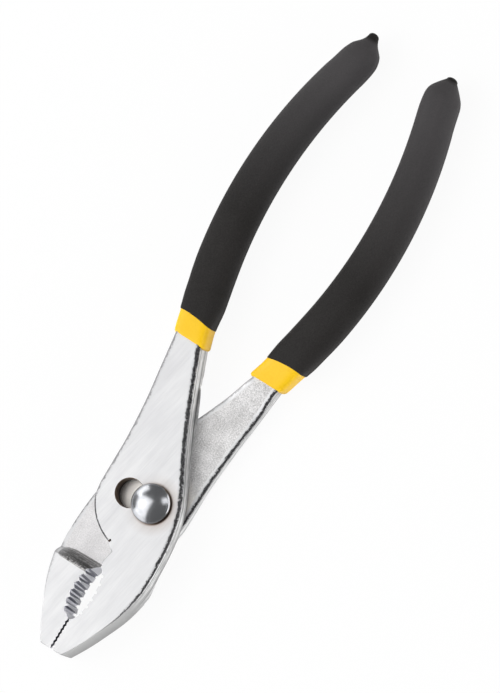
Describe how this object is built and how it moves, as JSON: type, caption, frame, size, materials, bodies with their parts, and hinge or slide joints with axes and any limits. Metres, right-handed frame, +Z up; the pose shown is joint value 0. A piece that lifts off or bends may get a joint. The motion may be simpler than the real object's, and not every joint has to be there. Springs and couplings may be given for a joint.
{
  "type": "slip joint pliers",
  "caption": "Slip joint pliers with a two-position pivot slot, serrated nose, toothed pipe grip, shear wire cutter and bowed handles dipped in two colours of vinyl.",
  "frame": {"origin": "on the pivot axis, on the flat back face of the pivot bolt and nut that the tool rests on", "axes": "+X from the pivot to the handle ends, +Y across the tool towards the front half's handle, +Z up through the bolt's domed head"},
  "size_m": [0.1998, 0.0546, 0.0149],
  "materials": {
    "satin_steel": "ground and satin brushed face, as forged edges",
    "forged_steel": "matte, shot blasted as forged, ground jaw face",
    "polished_steel": "polished dome",
    "plated_steel": "zinc plated",
    "yellow_vinyl": "smooth dipped vinyl",
    "black_vinyl": "matte, finely grained dipped vinyl"
  },
  "bodies": {
    "front": {"front_half": "satin_steel", "front_under_grip": "yellow_vinyl", "front_grip": "black_vinyl"},
    "pivot": {"pivot_bolt": "polished_steel", "pivot_nut": "plated_steel"},
    "rear": {"rear_half": "forged_steel", "rear_under_grip": "yellow_vinyl", "rear_grip": "black_vinyl"}
  },
  "joints": [
    {"name": "slip", "type": "slide", "parent": "front", "child": "pivot", "axis": [-0.0872, 0.9962, 0], "range_m": [0, 0.0073]},
    {"name": "open", "type": "hinge", "parent": "pivot", "child": "rear", "pos_m": [0, 0, 0.0062], "axis": [0, 0, -1], "range_deg": [0, 48]}
  ]
}
